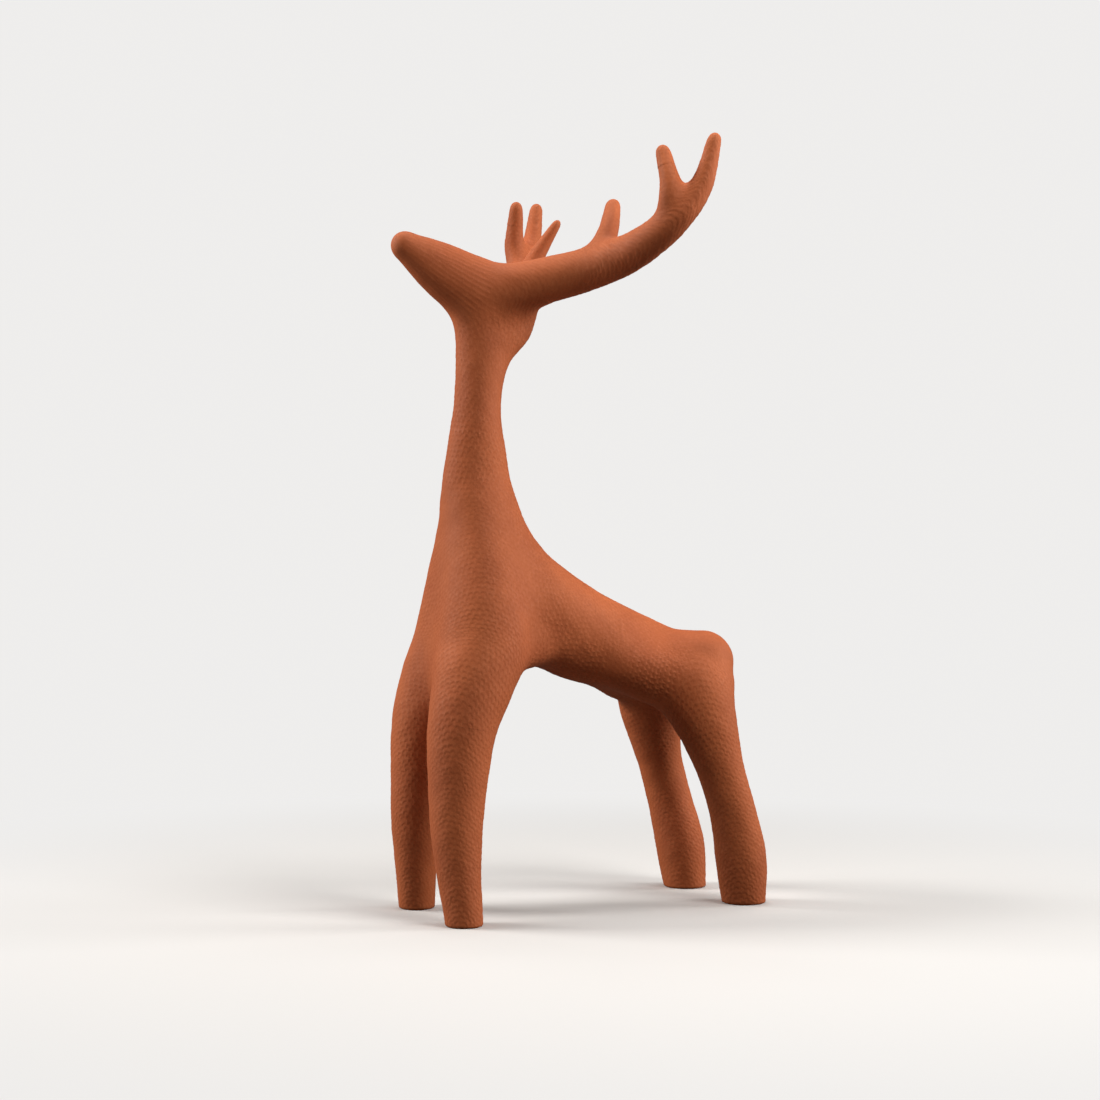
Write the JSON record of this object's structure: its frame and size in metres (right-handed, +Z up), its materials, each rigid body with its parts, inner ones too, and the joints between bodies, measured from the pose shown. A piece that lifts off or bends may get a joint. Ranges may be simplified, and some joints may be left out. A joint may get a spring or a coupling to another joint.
{
  "type": "terracotta deer sculpture",
  "caption": "Standing hand-built terracotta deer with an upturned round muzzle, slender neck, swept back, straight tapering legs and wide branching antlers.",
  "frame": {"origin": "on the ground, under the middle of the figure's bounding box", "axes": "+Z up; the deer faces -Y; +X is the deer's left side"},
  "size_m": [0.1586, 0.1546, 0.2999],
  "materials": {
    "terracotta": "matte, unglazed, tooled"
  },
  "bodies": {
    "root": {"torso": "terracotta", "neck": "terracotta", "head": "terracotta", "front_left_leg": "terracotta", "front_right_leg": "terracotta", "hind_left_leg": "terracotta", "hind_right_leg": "terracotta", "left_antler_beam": "terracotta", "right_antler_beam": "terracotta", "left_brow_tine": "terracotta", "right_brow_tine": "terracotta", "left_fork_tine": "terracotta", "right_fork_tine": "terracotta"}
  },
  "joints": []
}
